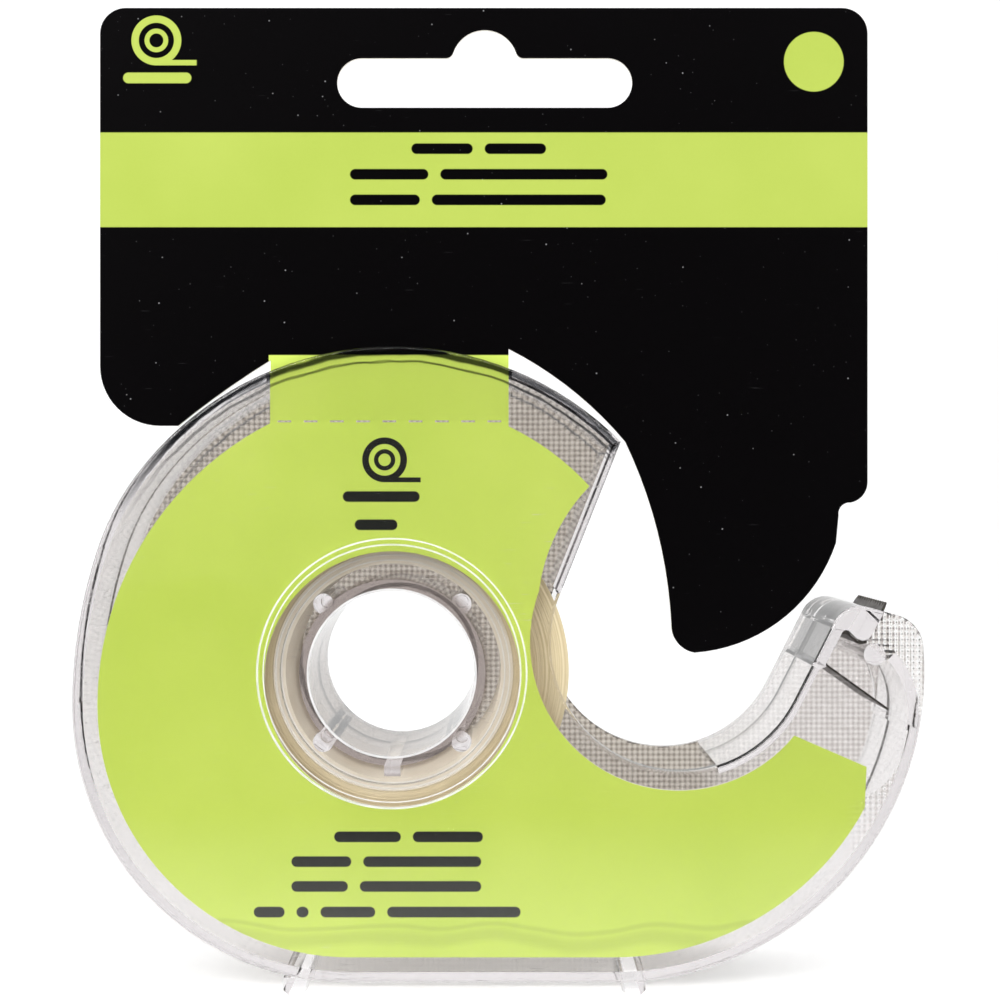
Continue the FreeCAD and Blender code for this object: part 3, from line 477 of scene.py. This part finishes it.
def insertCard():
    shader = Shader("greenCard").locate()
    marks = wordBars(shader, card["insertRows"]).most(rollMark(shader, card["insertMark"]))
    # painted shade: soft dark lines along the creases near the bottom of the card
    bend = shader.noise(*card["creaseBend"]) * card["creaseSwing"]
    creaseShade = None
    for height, half, soft in card["creaseShadeLines"]:
        shadeLine = (shader.z + bend - card["creaseSwing"] / 2).near(height, half, soft)
        creaseShade = creaseShade.most(shadeLine) if creaseShade else shadeLine
    rubbed = shader.noise(*card["rubs"]).step(*card["rubsRamp"])
    rubbed = rubbed * shader.noise(*card["rubbedArea"]).step(*card["rubbedAreaRamp"])
    creaseShadeGreen = scaleColour(card["greenDeep"], card["creaseShadeGain"])
    # painted light: the insert's green is brightened by its gain
    ink = shader.mix(creaseShade * card["creaseShadeShare"], greenInk(shader, card["insertPaintedLightGain"]), creaseShadeGreen)
    ink = shader.mix(rubbed * card["rubsShare"], ink, card["boardLight"])
    return cardFinish(shader, shader.mix(marks, ink, card["text"]), *card["insertFinish"])


def headerCard():
    shader = Shader("blackCard").locate()
    soft = card["edge"]
    low, high = card["stripe"]
    stripe = shader.z.step(low - soft, low + soft) * shader.z.step(high + soft, high - soft)
    left, right = card["tab"]
    tab = shader.z.step(card["tabPrint"] + soft, card["tabPrint"] - soft)
    tab = tab * shader.x.step(left - soft, left) * shader.x.step(right + soft, right)
    dotX, dotZ, dotRadius = card["dot"]
    dot = shader.away(dotX, dotZ).step(dotRadius + soft, dotRadius - soft)
    marks = rollMark(shader, card["headerMark"]).most(wordBars(shader, card["headerRows"]))
    green = (stripe * (1.0 - wordBars(shader, card["stripeRows"]))).most(tab).most(dot).most(marks)
    coarse = shader.specks(*card["coarseDust"]) * card["coarseDustShare"]
    fine = shader.specks(*card["fineDust"]) * card["fineDustShare"]
    hairs = shader.noise(*card["hairs"]).step(*card["hairsRamp"]) * card["hairsShare"]
    black = shader.mix(coarse.most(fine).most(hairs), card["black"], card["dust"])
    # painted light: the tab's green is brightened, as it lies inside the clear case
    ink = shader.mix(tab, greenInk(shader, card["headerGain"]), greenInk(shader, card["tabPaintedLightGain"]))
    return cardFinish(shader, shader.mix(green, black, ink), *card["headerFinish"])


dress("insert_card", insertCard())
dress("header_card", headerCard())
print("cards printed")


steel = {
    "bright": (0.085, 0.076, 0.066, 1.0),
    "stained": (0.030, 0.026, 0.022, 1.0),
    "metallic": 0.55,
    "roughness": 0.36,
    "stainRougher": 0.16,
    "stain": (1.3, 4.0, (1, 1, 1), 0.65),
    "stainRamp": (0.38, 0.66),
    "grain": (3.0, 4.0, (0.25, 6.0, 0.25)),
    "grainDepth": 0.01 * mm,
    "grainStrength": 0.5,
}


def bladeSteel():
    shader = Shader("bladeSteel").locate()
    stain = shader.noise(*steel["stain"]).step(*steel["stainRamp"])
    normal = shader.bump(shader.noise(*steel["grain"]), steel["grainDepth"], steel["grainStrength"])
    return shader.finish(shader.principled(
        Base_Color=shader.mix(stain, steel["bright"], steel["stained"]), Metallic=steel["metallic"],
        Roughness=steel["roughness"] + stain * steel["stainRougher"], Normal=normal))


tube = {
    "pale": (0.86, 0.79, 0.66, 1.0),
    "deep": (0.72, 0.62, 0.46, 1.0),
    "cloud": (0.3, 4.0),
    "cloudRamp": (0.3, 0.7),
    "cloudShare": 0.5,
    "ridges": (13.15, 13.75),       # mm from the hub axis
    "ridgeLine": (0.05, 0.06),      # half width, softness
    # painted highlight: the ridges are coloured lighter, as if catching the light
    "ridgeHighlight": (0.95, 0.93, 0.88, 1.0),
    "ridgeHighlightShare": 0.8,
    "relief": (4.0, 3.0),
    "reliefShare": 0.3,
    "reliefDepth": 0.03 * mm,
    "reliefStrength": 0.5,
    "roughness": 0.5,
    # painted light: a faint glow stands in for light soaking through the tube
    "paintedGlow": 0.06,                   # light that soaks through the tube
}


def corePlastic():
    shader = Shader("corePlastic").locate()
    radius = shader.away(0.0, 0.0)
    innerRidge, outerRidge = (radius.near(level, *tube["ridgeLine"]) for level in tube["ridges"])
    ridges = innerRidge.most(outerRidge)
    cloud = shader.noise(*tube["cloud"]).step(*tube["cloudRamp"])
    colour = shader.mix(cloud * tube["cloudShare"], tube["pale"], tube["deep"])
    # painted highlight on the ridges
    colour = shader.mix(ridges * tube["ridgeHighlightShare"], colour, tube["ridgeHighlight"])
    relief = shader.noise(*tube["relief"]) * tube["reliefShare"] + ridges
    # the emission is painted light: the tube glows faintly though it is no lamp
    return shader.finish(shader.principled(
        Base_Color=colour, Roughness=tube["roughness"],
        Normal=shader.bump(relief, tube["reliefDepth"], tube["reliefStrength"]),
        Emission_Color=tube["pale"], Emission_Strength=tube["paintedGlow"]))


dress("cutter_blade", bladeSteel())
dress("tape_core", corePlastic())
print("blade and core dressed")


tape = {
    "turns": 256,             # steps round the roll
    "windings": 46,           # bands of film seen on each side face
    "across": 7,              # rows of points across the width
    "coreGap": 0.02 * mm,     # the film starts this far off the tube
    "telescope": 0.07 * mm,   # how far a band may lie back from the side face
    "steady": 0.6,            # the share of that which is the same all round
    "bandFace": (0.08, 0.92),   # where a band's flat starts and ends, with a groove between bands
    "endStep": 0.16 * mm,     # the free end stands off the turn under it
    "endAngle": math.radians(-24.0),
    "sag": 0.05 * mm,         # soft flats round the outside
    "flats": 3,
    "sharp": math.radians(35),
    "seed": 12,
    "film": (0.80, 0.69, 0.47, 1.0),
    "filmDeep": (0.60, 0.49, 0.29, 1.0),
    "rings": {"Scale": 4.0, "Detail": 5.0},
    "ringShare": 0.6,
    "streaks": (0.5, 3.0, (0.2, 2.5, 0.2), 0.6),
    "streakShare": 0.4,
    "shadeRamp": (0.35, 0.65),
    "streakRise": 0.3,
    "reliefDepth": 0.02 * mm,
    "reliefStrength": 0.6,
    "roughness": 0.26,
    "coat": 0.25,
    # painted light: a faint glow stands in for light soaking through the film
    "paintedGlow": 0.07,             # light that soaks through the film
}


def woundTape():
    shader = Shader("woundTape").locate()
    radius = shader.away(0.0, 0.0)
    rings = shader.add("ShaderNodeTexNoise", {"noise_dimensions": "1D"}, {"W": radius, **tape["rings"]})
    streaks = shader.noise(*tape["streaks"])
    shade = (rings * tape["ringShare"] + streaks * tape["streakShare"]).step(*tape["shadeRamp"])
    relief = rings + streaks * tape["streakRise"]
    # the emission is painted light: the film glows faintly though it is no lamp
    return shader.finish(shader.principled(
        Base_Color=shader.mix(shade, tape["filmDeep"], tape["film"]), Roughness=tape["roughness"],
        Normal=shader.bump(relief, tape["reliefDepth"], tape["reliefStrength"]), Coat_Weight=tape["coat"],
        Emission_Color=tape["film"], Emission_Strength=tape["paintedGlow"]))


def makeRoll():
    # a closed ring swept round the hub: side faces of stepped windings, a face that ends in a free edge
    low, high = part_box("tape_roll")
    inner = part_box("tape_core")[1].x + tape["coreGap"]
    outer = high.x
    dice = random.Random(tape["seed"])
    bands = tape["windings"]
    depths = [[dice.random() * tape["telescope"] for _ in range(bands)] for _ in range(2)]
    phases = [dice.random() * math.tau for _ in range(bands)]
    steady = tape["steady"]
    roll = bmesh.new()
    loops = []
    for turn in range(tape["turns"]):
        share = turn / tape["turns"]
        angle = tape["endAngle"] - share * math.tau
        edge = outer - share * tape["endStep"] - tape["sag"] * (1 + math.sin(tape["flats"] * angle)) / 2
        profile = []
        for side, (y, inward) in enumerate(((low.y, 1), (high.y, -1))):
            face = []
            for band in range(bands):
                lean = (1 + math.sin(angle + phases[band])) / 2
                back = y + inward * depths[side][band] * (steady + (1 - steady) * lean)
                for part in tape["bandFace"]:
                    face.append((inner + (edge - inner) * (band + part) / bands, back))
            profile.append(face)
        front, back = profile
        spread = [(edge, front[-1][1] + (back[-1][1] - front[-1][1]) * row / (tape["across"] - 1))
                  for row in range(tape["across"])]
        bore = [(inner, y) for _, y in reversed(spread)]
        outline = front + spread + back[::-1] + bore
        loops.append([roll.verts.new((r * math.cos(angle), y, r * math.sin(angle))) for r, y in outline])
    for loop, following in zip(loops, loops[1:] + loops[:1]):
        for a, b, c, d in zip(loop, loop[1:] + loop[:1], following[1:] + following[:1], following):
            roll.faces.new((a, b, c, d))
    bmesh.ops.recalc_face_normals(roll, faces=roll.faces)
    data = bpy.data.meshes.new("wound_roll")
    roll.to_mesh(data)
    roll.free()
    piece = bpy.data.objects.new("wound_roll", data)
    bpy.context.scene.collection.objects.link(piece)
    data.materials.append(woundTape())
    data.shade_smooth()
    data.set_sharp_from_angle(angle=tape["sharp"])
    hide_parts("tape_roll")
    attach(piece, "roll")


makeRoll()
print("roll wound")


studio = {
    "floorFront": 0.9,
    "sweepStart": 0.35,
    "sweepRadius": 0.3,
    "sweepSteps": 16,
    "wallHeight": 1.3,
    "halfWidth": 1.4,
    "floorColour": (0.93, 0.93, 0.93, 1.0),
    "floorGlow": 0.22,
    "floorRoughness": 0.85,
    "floorGrain": (1.2, 3.0),
    "floorGrainDepth": 0.02 * mm,
    "floorGrainStrength": 0.4,
    "floorDark": (0.02, 0.02, 0.02, 1.0),
    "floorShade": (-0.03, -0.10),   # gloss sees the floor go dark between these depths
    "sky": 0.66,
    "flag": 0.02,                   # what gloss sees behind the camera
    "flagCone": (-0.45, -0.75),
    "cameraGap": 0.160,
    "cameraShift": (0.2 * mm, 0.05 * mm),
    "lens": 49.5,
    "sensor": 36.0,
    "clipStart": 0.01,
    "lamps": {                      # place, size, power, seen in gloss
        "keyLamp": ((-0.45, -0.30, 0.50), (0.5, 0.5), 1.9, True),
        "fillLamp": ((0.60, -0.25, 0.25), (0.4, 0.6), 0.8, True),
        "faceLamp": ((0.05, -0.75, 0.15), (0.6, 0.6), 0.35, False),
        "leftStrip": ((-0.30, -0.20, 0.02), (0.03, 0.5), 0.35, True),
        "rightStrip": ((0.36, -0.22, 0.00), (0.03, 0.5), 0.35, True),
        "topStrip": ((0.02, -0.22, 0.34), (0.5, 0.03), 0.35, True),
    },
}


def makeFloor():
    reach, radius, steps = studio["sweepStart"], studio["sweepRadius"], studio["sweepSteps"]
    profile = [(-studio["floorFront"], 0.0), (reach, 0.0)]
    for step in range(1, steps + 1):
        angle = math.pi / 2 * step / steps
        profile.append((reach + radius * math.sin(angle), radius * (1 - math.cos(angle))))
    profile.append((reach + radius, studio["wallHeight"]))
    sheet = bmesh.new()
    rows = [[sheet.verts.new((side * studio["halfWidth"], y, cadLow.z + z)) for side in (-1, 1)]
            for y, z in profile]
    for (a, b), (c, d) in zip(rows, rows[1:]):
        sheet.faces.new((a, b, d, c))
    data = bpy.data.meshes.new("floor")
    sheet.to_mesh(data)
    sheet.free()
    data.shade_smooth()
    floor = bpy.data.objects.new("floor", data)
    bpy.context.scene.collection.objects.link(floor)
    shader = Shader("floorPaper").locate()
    grain = shader.noise(*studio["floorGrain"])
    paper = shader.principled(
        Base_Color=studio["floorColour"], Roughness=studio["floorRoughness"],
        Normal=shader.bump(grain, studio["floorGrainDepth"], studio["floorGrainStrength"]),
        Emission_Color=(1, 1, 1, 1), Emission_Strength=studio["floorGlow"])
    dark = shader.principled(Base_Color=studio["floorDark"], Roughness=1.0)
    start, end = studio["floorShade"]
    gloss = shader.add("ShaderNodeLightPath", out="Is Glossy Ray") * shader.y.step(start / mm, end / mm)
    data.materials.append(shader.finish(shader.blend(gloss, paper, dark)))


def makeLamps():
    middle = (cadLow + cadHigh) / 2
    for name, (place, size, power, inGloss) in studio["lamps"].items():
        lamp = bpy.data.lights.new(name, "AREA")
        lamp.shape = "RECTANGLE"
        lamp.size = size[0]
        lamp.size_y = size[1]
        lamp.energy = power
        holder = bpy.data.objects.new(name, lamp)
        holder.location = place
        holder.rotation_euler = (middle - Vector(place)).to_track_quat("-Z", "Y").to_euler()
        holder.visible_glossy = inGloss
        bpy.context.scene.collection.objects.link(holder)


def makeSky():
    # soft room light, with a dark flag behind the camera that only gloss sees
    world = bpy.data.worlds.new("softRoom")
    world.use_nodes = True
    sky = Shader("softRoom", world.node_tree)
    toward = sky.add("ShaderNodeSeparateXYZ", {}, {0: sky.add("ShaderNodeTexCoord", out="Generated")}, "Y")
    gloss = sky.add("ShaderNodeLightPath", out="Is Glossy Ray") * toward.step(*studio["flagCone"])
    level = gloss * (studio["flag"] - studio["sky"]) + studio["sky"]
    light = sky.add("ShaderNodeBackground", {}, {"Strength": level})
    sky.add("ShaderNodeOutputWorld", {}, {"Surface": light})
    bpy.context.scene.world = world


def makeCamera():
    camera = bpy.data.cameras.new("camera")
    camera.lens = studio["lens"]
    camera.sensor_width = studio["sensor"]
    camera.clip_start = studio["clipStart"]
    holder = bpy.data.objects.new("camera", camera)
    middle = (cadLow + cadHigh) / 2
    right, up = studio["cameraShift"]
    holder.location = (middle.x + right, cadLow.y - studio["cameraGap"], middle.z + up)
    holder.rotation_euler = (math.pi / 2, 0, 0)
    bpy.context.scene.collection.objects.link(holder)
    bpy.context.scene.camera = holder


makeFloor()
makeSky()
makeLamps()
makeCamera()
bpy.context.scene.view_settings.view_transform = "Standard"
print("studio ready")
